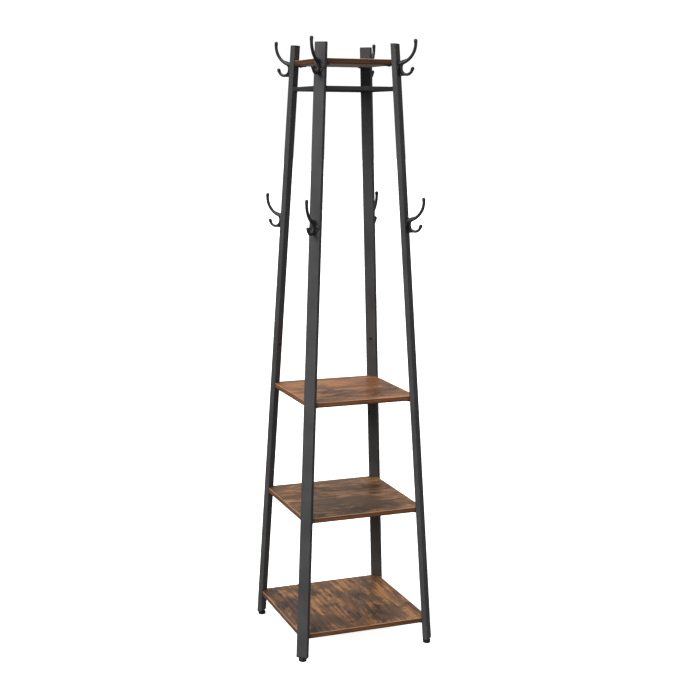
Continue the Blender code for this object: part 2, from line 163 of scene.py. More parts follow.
def rectangle(width, height, radius, steps=6):
    """A rounded rectangle about the origin."""
    x, y = width / 2, height / 2
    return rounded([(x, y), (-x, y), (-x, -y), (x, -y)], radius, steps)


def rim(arris, steps=4):
    """How far a quarter-round rim steps in from the side and down from the end, from the end to the side."""
    angle = np.linspace(0, math.pi / 2, steps + 1)
    inset = np.concatenate([[arris + GUARD], arris * (1 - np.sin(angle)), [0]])
    fall = np.concatenate([[0], arris * (1 - np.cos(angle)), [arris + GUARD]])
    return inset, fall


def stacked(outline, insets, heights):
    """Rings at these heights: the outline, moved in along its normals by each ring's inset."""
    points, normals = outline[:2]
    flat = points[None] - insets[:, None, None] * normals[None]
    level = np.broadcast_to(heights[:, None, None], (*flat.shape[:2], 1))
    return np.concatenate([flat, level], 2)


def slab(outline, bottom, top, arris, steps=4):
    """A solid between two heights, with a quarter-round rim at each end."""
    inset, fall = rim(arris, steps)
    heights = np.concatenate([bottom + fall, top - fall[::-1]])
    return stacked(outline, np.concatenate([inset, inset[::-1]]), heights)


def pipe(outline, bottom, top, wall, arris):
    """As slab, but hollow: the outer side up and the inner side down. The last ring joins the first."""
    inset, fall = rim(arris, 2)
    outer = (np.concatenate([inset, inset[::-1]]), np.concatenate([bottom + fall, top - fall[::-1]]))
    inner = (np.full(2, wall), np.array([top, bottom]))
    return stacked(outline, *(np.concatenate(pair) for pair in zip(outer, inner)))


def around(columns):
    """Equal angles, once round."""
    return np.linspace(0, 2 * math.pi, columns, endpoint=False)


def turned(profile, columns):
    """A surface of revolution about z: each (radius, height) of the profile makes a ring."""
    profile = np.asarray(profile, float)
    angle = around(columns)
    radius, height = profile[:, :1], profile[:, 1:] + 0 * angle
    return np.stack([radius * np.cos(angle), radius * np.sin(angle), height], 2)


def swept(path, across, radius, columns=16):
    """A round bar along a path that bends square to `across`: at each point a circle about the path."""
    path, across = np.asarray(path, float), np.asarray(across, float)
    ahead = unit(np.gradient(path, axis=0))
    side = unit(np.cross(across, ahead))
    angle = around(columns)[None, :, None]
    radius = np.broadcast_to(radius, len(path))[:, None, None]
    return path[:, None] + radius * np.cos(angle) * side[:, None] + radius * np.sin(angle) * across


def hoop(path, radius):
    """A bead along a closed path: at each point a circle about it, its radius rippling as a weld's does."""
    path = np.asarray(path, float)
    ahead = unit(np.roll(path, -1, 0) - np.roll(path, 1, 0))
    middle = path.mean(0)
    out = unit(path - middle - np.sum((path - middle) * ahead, 1, keepdims=True) * ahead)
    other = np.cross(ahead, out)
    angle = around(10)[None, :, None]
    rippled = radius * (1 + BEAD_RIPPLE * np.sin(np.arange(len(path)) * 1.9))[:, None, None]
    return path[:, None] + rippled * (np.cos(angle) * out[:, None] + np.sin(angle) * other[:, None])


def arc(centre, radius, start, end, points):
    """Points on an arc of the x-z plane, from one angle in degrees to the other."""
    angle = np.radians(np.linspace(start, end, points))
    return centre + radius * np.stack([np.cos(angle), np.sin(angle)], 1)


def evenly(path, points):
    """The path again, with its points spaced evenly along it."""
    along = np.concatenate([[0], np.cumsum(np.linalg.norm(np.diff(path, axis=0), axis=1))])
    steps = np.linspace(0, along[-1], points)
    return np.stack([np.interp(steps, along, path[:, i]) for i in range(path.shape[1])], 1)


def leaning(rings):
    """Sheared along a leg's centre line, so that level rings stay level."""
    return rings + np.stack([-SLOPE * rings[..., 2], 0 * rings[..., 2], 0 * rings[..., 2]], -1)


def placed(rings, *matrices):
    """The points put through these matrices, the last one first."""
    for matrix in reversed(matrices):
        grid = np.array(matrix)
        rings = rings @ grid[:3, :3].T + grid[:3, 3]
    return rings


# Meshes and pieces


class Shell:
    """A closed surface: quads between neighbouring rings, and a fan of triangles about each end's middle.

    Without ends the last ring joins the first. The wear value, which on a board's edge also carries a painted
    highlight, is one number, or one for each ring or each column.
    """

    def __init__(self, rings, ends=True, wear_and_painted_highlight=0):
        rows, columns = rings.shape[:2]
        index = np.arange(rows * columns).reshape(rows, columns)
        lower, upper = (index[:-1], index[1:]) if ends else (index, np.roll(index, -1, 0))
        around = [np.roll(level, -1, 1) for level in (lower, upper)]
        self.points = rings.reshape(-1, 3)
        self.quads = np.stack([lower, around[0], around[1], upper], -1).reshape(-1, 4)
        self.triangles = np.empty((0, 3), int)
        self.wear_and_painted_highlight = np.broadcast_to(wear_and_painted_highlight, (rows, columns)).ravel()
        if ends:
            self.close(index, rings)
        if self.volume() < 0:
            self.quads, self.triangles = self.quads[:, ::-1], self.triangles[:, ::-1]

    def close(self, index, rings):
        tips = len(self.points) + np.arange(2)
        self.points = np.vstack([self.points, rings[0].mean(0), rings[-1].mean(0)])
        self.wear_and_painted_highlight = np.append(self.wear_and_painted_highlight, (0, 0))
        first = np.stack([index[0] * 0 + tips[0], np.roll(index[0], -1), index[0]], -1)
        last = np.stack([index[-1] * 0 + tips[1], index[-1], np.roll(index[-1], -1)], -1)
        self.triangles = np.vstack([first, last])

    def volume(self):
        """A sixth of the sum of the triangles' triple products."""
        halves = np.vstack([self.quads[:, :3], self.quads[:, [0, 2, 3]], self.triangles])
        a, b, c = (self.points[halves[:, i]] for i in range(3))
        return np.sum(a * np.cross(b, c)) / 6


def mesh_of(name, shells, matrix=None):
    """One mesh of these shells, with their wear, and on a board's edge a painted highlight, as a point
    attribute.
    """
    starts = np.cumsum([0] + [len(shell.points) for shell in shells])
    points = np.vstack([shell.points for shell in shells])
    faces = []
    for shell, start in zip(shells, starts):
        faces += (shell.quads + start).tolist() + (shell.triangles + start).tolist()
    mesh = bpy.data.meshes.new(name)
    mesh.from_pydata(placed(points, matrix) if matrix else points, [], faces)
    wear_and_painted_highlight = mesh.attributes.new("wear_and_painted_highlight", "FLOAT", "POINT")
    wear_and_painted_highlight.data.foreach_set("value", np.concatenate([shell.wear_and_painted_highlight for shell in shells]).astype(np.float32))
    return mesh


def put(name, mesh, finishes, body, node=None, sharp=35):
    """One piece of the hall tree, riding on its body and standing for its node."""
    for finish in finishes:
        mesh.materials.append(finish)
    mesh.shade_smooth()
    mesh.set_sharp_from_angle(angle=math.radians(sharp))
    piece = bpy.data.objects.new(name, mesh)
    bpy.context.scene.collection.objects.link(piece)
    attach(piece, body)
    if node:
        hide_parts(node)
    return piece


# Finishes


class Wire:
    """A number in a finish's node tree. An expression on it adds Math nodes."""

    def __init__(self, finish, socket):
        self.finish, self.socket = finish, socket

    def maths(self, operation, *values):
        return self.finish.node("Math", {"operation": operation}, dict(enumerate(values)))

    def __add__(self, other):
        return self.maths("ADD", self, other)

    def __sub__(self, other):
        return self.maths("SUBTRACT", self, other)

    def __rsub__(self, other):
        return self.maths("SUBTRACT", other, self)

    def __mul__(self, other):
        return self.maths("MULTIPLY", self, other)

    def __truediv__(self, other):
        return self.maths("DIVIDE", self, other)

    def __pow__(self, other):
        return self.maths("POWER", self, other)

    __radd__, __rmul__ = __add__, __mul__


class Finish:
    """A material in the making: its node tree, and its shader's own values."""

    def __init__(self, name, **values):
        self.material = bpy.data.materials.new(name)
        self.material.use_nodes = True
        self.tree = self.material.node_tree
        self.shader = self.tree.nodes["Principled BSDF"]
        for socket, value in values.items():
            self.shade(socket.replace("_", " "), value)

    def node(self, kind, settings, inputs, output=0):
        """A node of this kind, with its settings and then its sockets' values or links."""
        made = self.tree.nodes.new(f"ShaderNode{kind}")
        for key, value in settings.items():
            setattr(made, key, value)
        for key, value in inputs.items():
            self.feed(made.inputs[key], value)
        return Wire(self, made.outputs[output])

    def feed(self, socket, value):
        if isinstance(value, Wire):
            self.tree.links.new(value.socket, socket)
        else:
            socket.default_value = value

    def shade(self, socket, value):
        self.feed(self.shader.inputs[socket], value)

    def place(self):
        return self.node("TexCoord", {}, {}, "Object")

    def attribute(self, name):
        return self.node("Attribute", {"attribute_name": name}, {}, "Fac")

    def split(self, place):
        return [self.node("SeparateXYZ", {}, {0: place}, axis) for axis in "XYZ"]

    def joined(self, *axes):
        return self.node("CombineXYZ", {}, dict(enumerate(axes)))

    def scaled(self, place, *scales):
        return self.node("VectorMath", {"operation": "MULTIPLY"}, {0: place, 1: scales})

    def noise(self, place, scale, detail=2, roughness=0.5, distortion=0):
        grain = {"Scale": scale, "Detail": detail, "Roughness": roughness, "Distortion": distortion}
        return self.node("TexNoise", {}, {"Vector": place, **grain})

    def step(self, value, low, high):
        """0 below low, 1 above high and smooth between. With low above high it falls instead."""
        if low > high:
            return 1 - self.step(value, high, low)
        settings = {"interpolation_type": "SMOOTHSTEP"}
        return self.node("MapRange", settings, {"Value": value, "From Min": low, "From Max": high})

    def blend(self, share, colour, other, mode="MIX"):
        settings = {"data_type": "RGBA", "blend_type": mode}
        return self.node("Mix", settings, {0: share, 6: colour, 7: other}, 2)

    def bump(self, height, distance):
        relief = self.node("Bump", {}, {"Height": height, "Distance": distance, "Strength": 1.0})
        self.shade("Normal", relief)


def tint(red, green, blue):
    """A colour from its 0 to 255 screen values, made linear."""
    share = np.array((red, green, blue)) / 255
    linear = np.where(share <= 0.04045, share / 12.92, ((share + 0.055) / 1.055) ** 2.4)
    return (*(float(value) for value in linear), 1.0)


def powder_coat(name, dark, light, bare, roughness, peel=0.00006):
    """Powder coat: fine orange peel, faint clouds of tone, and a little rubbing on the corners."""
    coat = Finish(name, IOR=1.5)
    place = coat.place()
    cloud = coat.noise(place, 11, 3)
    grain = coat.noise(place, 1500, 2)
    ripple = coat.noise(place, 420, 2)
    rubbed = coat.attribute("wear_and_painted_highlight") * coat.step(coat.noise(place, 55, 4, 0.6), 0.5, 0.68)
    speck = coat.step(coat.noise(place, 2600, 1), 0.7, 0.8)
    colour = coat.blend(coat.step(cloud, 0.3, 0.7), dark, light)
    colour = coat.blend(speck * 0.35, colour, bare)
    coat.shade("Base Color", coat.blend(rubbed * 0.6, colour, bare))
    coat.shade("Roughness", roughness + (cloud - 0.5) * 0.16 + (grain - 0.5) * 0.12 - rubbed * 0.12)
    coat.bump(grain * 0.6 + ripple, peel)
    return coat.material


def moulded_plastic(name, dark, light, roughness):
    """Moulded plastic: a fine even grain, with scuffs where it is rubbed."""
    plastic = Finish(name, IOR=1.46)
    place = plastic.place()
    grain = plastic.noise(place, 2200, 2)
    scuff = plastic.step(plastic.noise(plastic.scaled(place, 90, 90, 500), 1, 3, 0.6), 0.56, 0.7)
    plastic.shade("Base Color", plastic.blend(scuff * 0.5, dark, light))
    plastic.shade("Roughness", roughness + scuff * 0.15 + (grain - 0.5) * 0.1)
    plastic.bump(grain, 0.00004)
    return plastic.material


def screw_steel(name, dark, light, roughness):
    """Plated or blackened steel: turning marks, with blotches in the plating."""
    steel = Finish(name, Metallic=0.85)
    place = steel.place()
    blotch = steel.noise(place, 300, 4, 0.6)
    steel.shade("Base Color", steel.blend(steel.step(blotch, 0.35, 0.7), dark, light))
    steel.shade("Roughness", roughness + (blotch - 0.5) * 0.25)
    steel.bump(steel.noise(place, 1800, 3), 0.00003)
    return steel.material


class Timber:
    """The rustic board pattern in one board: x runs along the grain, y across it, both in metres."""

    def __init__(self, wood, seed, turned_round, knots):
        self.wood = wood
        turn = math.pi / 2 if turned_round else 0.0
        mapped = wood.node("Mapping", {}, {"Vector": wood.place(), "Rotation": (0, 0, turn)})
        self.seed = seed
        self.x, self.y = wood.split(mapped)[:2]
        self.knot_cores = 0.0
        self.knot_rings = 0.0
        drift = (self.pattern(5, 9, 2) - 0.5) * 0.022
        for knot in knots:
            drift = drift + self.knot(*knot)
        self.y = self.y + drift

    def pattern(self, along, across, detail=2, roughness=0.5, distortion=0):
        """Noise with this many features to a metre along the grain and across it."""
        self.seed += 1.37
        place = self.wood.joined(self.x * along, self.y * across, self.seed)
        return self.wood.noise(place, 1, detail, roughness, distortion)

    def knot(self, x, y, size):
        """Adds a knot and returns how far it pushes the grain aside: its distance times a bell about it."""
        across = self.y - y
        away = (((self.x - x) / (size * 2.2)) ** 2 + (across / size) ** 2) ** 0.5
        bell = self.wood.step(away, 2.6, 0.0)
        self.knot_cores = self.knot_cores + self.wood.step(away, 0.75, 0.3)
        self.knot_rings = self.knot_rings + self.wood.step(away, 1.5, 0.5)
        return across * bell * -0.75


def rustic_board(name, seed, turned_round, knots, warmth):
    """Rustic wood-print foil: streaked brown, clouded by dark stain, with knots, cracks and worm holes."""
    wood = Finish(name, IOR=1.44)
    timber = Timber(wood, seed, turned_round, knots)
    broad = timber.pattern(2.5, 17, 5, 0.65, 0.6)
    streak = timber.pattern(5, 120, 6, 0.75)
    fibre = timber.pattern(30, 900, 3, 0.7)
    cloud = timber.pattern(6, 10, 7, 0.75, 0.3)
    gather = timber.pattern(7, 9, 2)
    mark = timber.pattern(26, 125, 6, 0.8, 0.3)
    crack = timber.pattern(7, 190, 5, 0.8)
    speckle = timber.pattern(160, 330, 3, 0.7)
    pale, mid, deep = tint(206, 145, 88), tint(150, 100, 57), tint(84, 56, 33)
    stain, soot = tint(78, 61, 44), tint(22, 17, 12)
    colour = wood.blend(wood.step(broad, 0.42, 0.58), mid, pale)
    colour = wood.blend(wood.step(streak, 0.47, 0.58) * 0.78, colour, deep)
    broken = cloud + (streak - 0.5) * 0.25
    clouded = wood.step(broken, 0.43 + warmth * 0.08, 0.54 + warmth * 0.08)
    colour = wood.blend(clouded * 0.75, colour, stain)
    dark = wood.step(mark + (gather - 0.5) * 0.7, 0.565, 0.6) * 0.75 + wood.step(crack, 0.565, 0.61) * 0.6
    dark = dark + wood.step(speckle, 0.58, 0.68) * (0.2 + clouded * 0.3)
    dark = dark + timber.knot_cores * 0.9 + timber.knot_rings * 0.35
    colour = wood.blend(wood.step(dark, 0.0, 1.0) * 0.9, colour, soot)
    colour = wood.blend(wood.step(fibre, 0.35, 0.75) * 0.3, colour, tint(70, 48, 32))
    warm = wood.blend(warmth, (1, 1, 1, 1), (1.08, 0.98, 0.94, 1))
    colour = wood.blend(1.0, colour, warm, "MULTIPLY")
    # Painted highlight: the print is made lighter at its rim by the top arris, along with wear.
    colour = wood.blend(wood.attribute("wear_and_painted_highlight") * 0.85, colour, tint(186, 146, 112))
    wood.shade("Base Color", colour)
    wood.shade("Roughness", 0.3 + clouded * 0.1 + (fibre - 0.5) * 0.12)
    wood.bump(fibre * 0.6 + streak * 0.5 - dark * 0.7, 0.00012)
    return wood.material


def edge_band(name, warmth, tone):
    """The foil on a board's edges: grain along the edge, a painted highlight with wear along the top arris,
    and darkest under the top arris and at the bottom.
    """
    band = Finish(name, IOR=1.38)
    x, y, z = band.split(band.place())
    broad = band.noise(band.joined((x + y) * 9, z * 420, 0.3), 1, 3, 0.6)
    fine = band.noise(band.joined((x + y) * 40, z * 1500, 4.1), 1, 3, 0.6)
    cloud = band.noise(band.joined(x * 14, y * 14, 7.7), 1, 3)
    colour = band.blend(band.step(broad, 0.35, 0.65), tint(138, 92, 57), tint(106, 64, 35))
    colour = band.blend(band.step(cloud, 0.45, 0.7) * 0.45, colour, tint(84, 58, 42))
    colour = band.blend(band.step(fine, 0.5, 0.75) * 0.4, colour, tint(66, 42, 28))
    shade = tuple(tone * share for share in (1 + warmth * 0.1, 1, 1 - warmth * 0.08))
    colour = band.blend(1.0, colour, (*shade, 1), "MULTIPLY")
    # Painted highlight: lighter along the top arris, along with wear; darker just under that arris and at the
    # bottom.
    painted_highlight_and_wear = band.attribute("wear_and_painted_highlight")
    colour = band.blend(band.step(painted_highlight_and_wear, 0.05, 0.8) * 0.9, colour, tint(200, 160, 126))
    band.shade("Base Color", band.blend(band.step(painted_highlight_and_wear, -0.1, -0.9) * 0.75, colour, tint(58, 35, 21)))
    band.shade("Roughness", 0.42 + (fine - 0.5) * 0.15)
    band.bump(fine * 0.5 + broad * 0.5, 0.0001)
    return band.material


def backing_foil(name):
    """The plain pale foil under the boards, with a faint print and dust."""
    foil = Finish(name)
    place = foil.place()
    faint = foil.noise(foil.scaled(place, 6, 160, 1), 1, 4, 0.6)
    mottle = foil.noise(place, 60, 4)
    colour = foil.blend(foil.step(faint, 0.3, 0.7), tint(186, 170, 154), tint(168, 150, 132))
    foil.shade("Base Color", colour)
    foil.shade("Roughness", 0.55 + (mottle - 0.5) * 0.2)
    foil.bump(mottle * 0.5 + faint * 0.5, 0.00006)
    return foil.material


# Shapes of the pieces


def leg_section(inset=0.0):
    """A level cut through a leg: its depth is the tube's over the cosine of the lean."""
    depth = LEG_DEPTH / math.cos(LEAN) - 2 * inset
    return rectangle(depth, LEG_WIDTH - 2 * inset, LEG_CORNER - inset)


def leg_tube(bottom, top):
    """A length of a leg's hollow tube."""
    section = leg_section()
    return Shell(leaning(pipe(section, bottom, top, LEG_WALL, LEG_ARRIS)), ends=False, wear_and_painted_highlight=section[2])


def joint_sleeve():
    """The sleeve welded in the lower tube, standing up into the upper one."""
    bottom, top = JOINT_HEIGHT - SLEEVE_REACH, JOINT_HEIGHT + SLEEVE_REACH
    rings = pipe(leg_section(LEG_WALL + GAP), bottom, top, LEG_WALL / 2, LEG_ARRIS)
    return Shell(leaning(rings), ends=False)


def leg_cap():
    """The cap's lid, with a rounded rim, and its plug in the tube."""
    section = leg_section()
    inset, fall = rim(CAP_ARRIS)
    top = np.concatenate([inset, [0, 0.0002]])[::-1]
    heights = np.concatenate([LEG_TOP - fall, [LEG_TOP - CAP_THICKNESS] * 2])[::-1]
    plug = slab(leg_section(LEG_WALL), TUBE_TOP - CAP_PLUG, LEG_TOP - CAP_THICKNESS / 2, LEG_ARRIS, 2)
    return [Shell(leaning(stacked(section, top, heights)), wear_and_painted_highlight=section[2]), Shell(leaning(plug))]


def centre_reach(height):
    """A leg's centre line from the middle of the stand: it draws in evenly with height."""
    return FLOOR_REACH - SLOPE * height


def inner_reach(height):
    """How far out a level piece may reach: to the leg's inner face, less the gap."""
    return centre_reach(height) - LEG_DEPTH / math.cos(LEAN) / 2 - GAP


def tab(board_bottom):
    """A rounded tab, squared at its root, and its weld: a bead under it along the leg, thin at both ends."""
    root = inner_reach(board_bottom) + GAP - FLOOR_REACH + TAB_WELD
    middle, side = root - TAB_WELD / 2 - TAB_LENGTH / 2, TAB_WIDTH / 2
    outline = rectangle(TAB_LENGTH + TAB_WELD, TAB_WIDTH, TAB_CORNER)
    top = board_bottom - GAP
    plate = slab(outline, top - TAB_THICKNESS, top, TAB_ARRIS, 3) + np.array((middle, 0, 0))
    run = np.linspace(-1, 1, 41)
    line = np.stack([root - TAB_WELD + 0 * run, run * (side - BEAD_SHORT), top - TAB_THICKNESS + 0 * run], 1)
    taper = np.sqrt(np.clip(1.01 - run**2, 0.02, 1)) * (1 + BEAD_RIPPLE * np.sin(run * 40))
    square = rectangle(TAB_CORNER, TAB_WIDTH - BEAD_SHORT, 0.001)
    root_plate = slab(square, top - TAB_THICKNESS, top, TAB_ARRIS, 2)
    root_plate = root_plate + np.array((root - TAB_CORNER / 2, 0, 0))
    bead = swept(line, (1, 0, 0), BEAD_RADIUS * taper)
    return [Shell(plate, wear_and_painted_highlight=outline[2]), Shell(root_plate), Shell(bead)]


def tie_bar():
    """The front tie bar: its section runs along x to where each point meets the legs' inner faces, and a bead
    follows the section there."""
    low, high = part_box("tie_bar_front")
    height = (low.z + high.z) / 2
    middle = low.y + TIE_BAR_DEPTH / 2
    outline = rectangle(TIE_BAR_DEPTH, TIE_BAR_HEIGHT, TIE_BAR_CORNER)
    y, z = middle + outline[0][:, 0], height + outline[0][:, 1]
    end = math.sqrt(2) * inner_reach(z) + y
    along = np.linspace(-1, 1, 9)[:, None]
    rings = np.stack([along * end, y + 0 * along, z + 0 * along], 2)
    wide = rectangle(TIE_BAR_DEPTH, TIE_BAR_HEIGHT, TIE_BAR_CORNER, 8)
    path = evenly(np.vstack([wide[0], wide[0][:1]]), 73)[:-1]
    y, z = middle + path[:, 0], height + path[:, 1]
    end = math.sqrt(2) * inner_reach(z) + y
    beads = [hoop(np.stack([sign * end, y, z], 1), BEAD_RADIUS * 0.8) for sign in (-1, 1)]
    return [Shell(rings, wear_and_painted_highlight=outline[2]), *(Shell(bead, ends=False) for bead in beads)]


def board(name):
    """A square board with its corners cut to the legs, and a small quarter-round all round its faces.

    The wear value is 1 on the upper arris, where it paints a highlight along with wear, and falls to -1 just
    under that arris and on the lower one, where the band is darker.
    """
    low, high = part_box(name)
    side = high.x
    cut = inner_reach(high.z) * math.sqrt(2) - side
    corners = [(side, cut), (cut, side), (-cut, side), (-side, cut)]
    outline = rounded(corners + [(-x, -y) for x, y in corners], BOARD_CORNER, 4)
    inset, fall = rim(BOARD_ARRIS)
    step_in = np.concatenate([inset, [0, 0], inset[::-1]])
    thickness = high.z - low.z
    inner = np.array([thickness * 0.3, thickness * 0.72])  # the edge has no wear, painted highlight and darkening between these two rings
    heights = low.z + np.concatenate([fall, inner, thickness - fall[::-1]])
    # Painted highlight: the upper arris is made lighter, along with its wear; the band is made darker just
    # under that arris and on the lower arris.
    quarter = np.sin(np.linspace(0, math.pi, len(inset) - 2))
    upper = np.concatenate([[-0.9], quarter * 0.6 + 0.4, [0]])
    lower = np.concatenate([[0], -0.9 + 0 * quarter, [-0.8]])
    wear_and_painted_highlight = np.concatenate([lower, [0.0, 0.0], upper])[:, None]
    return Shell(stacked(outline, step_in, heights), wear_and_painted_highlight=wear_and_painted_highlight)


def board_mesh(name):
    """The board's mesh, with the wood print on top, the edge band on the sides and plain foil underneath."""
    mesh = mesh_of(name, [board(name)])
    facing = np.empty(len(mesh.polygons) * 3, np.float32)
    mesh.polygons.foreach_get("normal", facing)
    level = facing[2::3]
    kind = np.where(level > 0.99, 0, np.where(level < -0.99, 2, 1)).astype(np.int32)
    mesh.polygons.foreach_set("material_index", kind)
    return mesh


def arm_path():
    """The upper arm's centre line: an arc, then a straight bit up to its tip."""
    bend = arc(ARM_CENTRE, ARM_RADIUS, ARM_START, ARM_END, 60)
    return np.vstack([bend, bend[-1] + (0, ARM_RISE + BALL_RADIUS)])


def loop_path():
    """The lower arm's centre line: an arc down from the upper arm, a smaller one round and a straight tip."""
    bend_centre = LOOP_CENTRE + (BEND_RADIUS - LOOP_RADIUS, BEND_RISE)
    bend = arc(bend_centre, BEND_RADIUS, BEND_END, 180, 20)
    loop = arc(LOOP_CENTRE, LOOP_RADIUS, 180, LOOP_END, 40)
    ahead = unit(loop[-1] - loop[-2])
    return np.vstack([bend, loop[1:], loop[-1] + (LOOP_FLARE + BALL_RADIUS) * ahead])


def hook_bar(path, radius, root):
    """A round bar, thicker at its root, that swells to a rounded tip.

    Its radius is the bar's plus a bell curve at the root and one about the tip's centre. The tip closes as a
    sphere does.
    """
    path = evenly(path, 120)
    along = np.concatenate([[0], np.cumsum(np.linalg.norm(np.diff(path, axis=0), axis=1))])
    left = along[-1] - along
    swell = (BALL_RADIUS - radius) * np.exp(-(((left - BALL_RADIUS) / (1.1 * BALL_RADIUS)) ** 2))
    thick = radius + root * np.exp(-((along / ROOT_LENGTH) ** 2)) + swell
    closing = np.sqrt(np.clip(1 - np.clip(1 - left / BALL_RADIUS, 0, 1) ** 2, 0.0004, 1))
    upright = np.stack([path[:, 0], 0 * left, path[:, 1]], 1)
    return Shell(swept(upright, (0, 1, 0), thick * closing, columns=24))


def hook_plate():
    """The lozenge plate, with a rounded edge and a crown that falls off towards its rim."""
    tall, wide = PLATE_HEIGHT / 2, PLATE_WIDTH / 2
    outline = rounded([(wide, 0), (0, tall), (-wide, 0), (0, -tall)], PLATE_CORNER, 10)
    rings = slab(outline, GAP, GAP + PLATE_THICKNESS - PLATE_CROWN, PLATE_ARRIS, 5)
    share = np.linspace(1, 0.02, 14)[1:, None, None]
    lid = rings[-1][None] * share
    lid[..., 2] = rings[-1][None, :, 2] + PLATE_CROWN * (1 - share[..., 0] ** 3)
    return Shell(placed(np.concatenate([rings, lid]), FACING))


def hook_web():
    """The flat web that fills between the plate and both arms.

    It is a strip from the plate's middle out to the bars' centre lines. Its rings go down from the upper arm,
    round the bend and along under the loop.
    """
    back = PLATE_THICKNESS / 2
    upper = arc(ARM_CENTRE, ARM_RADIUS, WEB_END, WEB_END - 12, 4)
    bend = arc(LOOP_CENTRE + (BEND_RADIUS - LOOP_RADIUS, BEND_RISE), BEND_RADIUS, BEND_END + 25, 180, 8)
    loop = arc(LOOP_CENTRE, LOOP_RADIUS, 180, 268, 12)
    tip, foot = upper[:1] + (0, ARM_BAR_RADIUS), loop[-1:] - (0, LOOP_BAR_RADIUS * 0.8)
    edge = np.vstack([tip, upper, bend, loop[1:], foot])
    drop = np.linspace(0, 1, len(edge)) ** 0.8
    plate_side = np.stack([np.full(len(edge), back), WEB_RISE + (edge[-1, 1] - WEB_RISE) * drop], 1)
    inner, outer = (np.stack([line[:, 0], 0 * line[:, 0], line[:, 1]], 1) for line in (plate_side, edge))
    half = np.array((0, WEB_THICKNESS / 2, 0))
    return Shell(np.stack([inner - half, outer - half, outer + half, inner + half], 1))


def cast_hook():
    """The hook's surfaces fused into one skin and smoothed, as a casting's are."""
    shells = [
        hook_plate(),
        hook_web(),
        hook_bar(arm_path(), ARM_BAR_RADIUS, ARM_ROOT),
        hook_bar(loop_path(), LOOP_BAR_RADIUS, LOOP_ROOT),
    ]
    work = bpy.data.objects.new("casting", mesh_of("casting", shells))
    bpy.context.scene.collection.objects.link(work)
    fuse = work.modifiers.new("fuse", "REMESH")
    fuse.mode = "VOXEL"
    fuse.voxel_size = CAST_GRAIN
    soften = work.modifiers.new("soften", "SMOOTH")
    soften.factor = 0.5
    soften.iterations = 7
    bpy.context.view_layer.update()
    mesh = bpy.data.meshes.new_from_object(work.evaluated_get(bpy.context.evaluated_depsgraph_get()))
    bpy.data.objects.remove(work)
    return mesh


def cross_recess(x, y, reach):
    """1 inside a cross-shaped recess and 0 outside: two crossed slots with soft sides."""
    width, soft = reach * 0.2, reach * 0.1

    def slot(long, short):
        inside = np.clip((reach - np.abs(long)) / soft, 0, 1) * np.clip((width - np.abs(short)) / soft, 0, 1)
        return inside**2 * (3 - 2 * inside)

    return np.maximum(slot(x, y), slot(y, x))


def screw(radius, head, dome, countersunk):
    """A screw along z with its head on z = 0: a turned profile, its top pressed in by the cross recess.

    The top's radius and height follow the cosine and the sine of one angle, the cosine raised to a power.
    """
    shank = [(radius / 4, -SCREW_LENGTH), (radius, -SCREW_LENGTH + radius * 2)]
    seat = [(radius, radius - head if countersunk else 0), (head, 0)]
    lean = np.linspace(0, math.pi / 2, 28)[:-1]
    side = 0.0 if countersunk else dome * PAN_SIDE
    crown = np.stack([head * np.cos(lean) ** CROWN_FULLNESS, side + (dome - side) * np.sin(lean)], 1)
    rings = turned(np.vstack([shank, seat, crown]), SCREW_COLUMNS)
    top = slice(len(shank) + len(seat), None)
    press = cross_recess(rings[top, :, 0], rings[top, :, 1], head * RECESS_REACH)
    rings[top, :, 2] -= RECESS_DEPTH * press
    return Shell(rings)


def pad(radius):
    """The foot's pad: a turned profile with a bored neck, its side pressed into shallow grip flutes."""
    bore = STUD_RADIUS + GAP
    curve = np.linspace(0, math.pi / 2, 10)
    base = radius - PAD_ROUND
    rim_in = np.stack([base + PAD_ROUND * np.cos(curve), PAD_ROUND - PAD_ROUND * np.sin(curve)], 1)
    neck = [(0.0002, PAD_FLOOR), (bore, PAD_FLOOR), (bore, PAD_HEIGHT - 0.0004), (bore + 0.0004, PAD_HEIGHT)]
    soft = np.linspace(0, 1, 8)[:, None]
    collar, shoulder = np.array((PAD_NECK_RADIUS, PAD_HEIGHT - 0.0006)), np.array((radius, PAD_SHOULDER))
    fall = collar * (1 - soft) + shoulder * soft
    fall[:, 0] += 0.0006 * np.sin(math.pi * soft[:, 0])
    under = [(base - 0.001, 0), (base - 0.0015, 0.0004), (0.0002, 0.0004)]
    lip = (PAD_NECK_RADIUS - 0.0006, PAD_HEIGHT)
    rings = turned(np.vstack([neck, [lip], fall, rim_in, under]), PAD_COLUMNS)
    height = rings[..., 2]
    band = np.clip((height - 0.0025) / 0.001, 0, 1) * np.clip((PAD_SHOULDER + 0.0002 - height) / 0.001, 0, 1)
    outside = np.linalg.norm(rings[..., :2], axis=2) > PAD_NECK_RADIUS
    wave = (0.5 + 0.5 * np.cos(PAD_FLUTES * around(PAD_COLUMNS))) ** 2
    flute = 1 - PAD_FLUTE_DEPTH * wave * band * outside
    rings[..., :2] *= flute[..., None]
    return Shell(rings)


def stud():
    """The foot's stud: its radius falls and rises once a pitch along a helix, and is least at both ends."""
    bottom, top = PAD_FLOOR + GAP, PAD_FLOOR + GAP + STUD_LENGTH
    height = np.linspace(bottom, top, 289)
    angle = around(24)
    phase = (height[:, None] / THREAD_PITCH - angle / (2 * math.pi)) % 1
    ends = np.clip(np.minimum(height - bottom, top - height) / THREAD_FADE, 0, 1)[:, None]
    radius = STUD_RADIUS - 0.0001 - THREAD_DEPTH * np.abs(2 * phase - 1) - THREAD_DEPTH * (1 - ends)
    level = np.broadcast_to(height[:, None], radius.shape)
    return Shell(np.stack([radius * np.cos(angle), radius * np.sin(angle), level], 2))


# Places


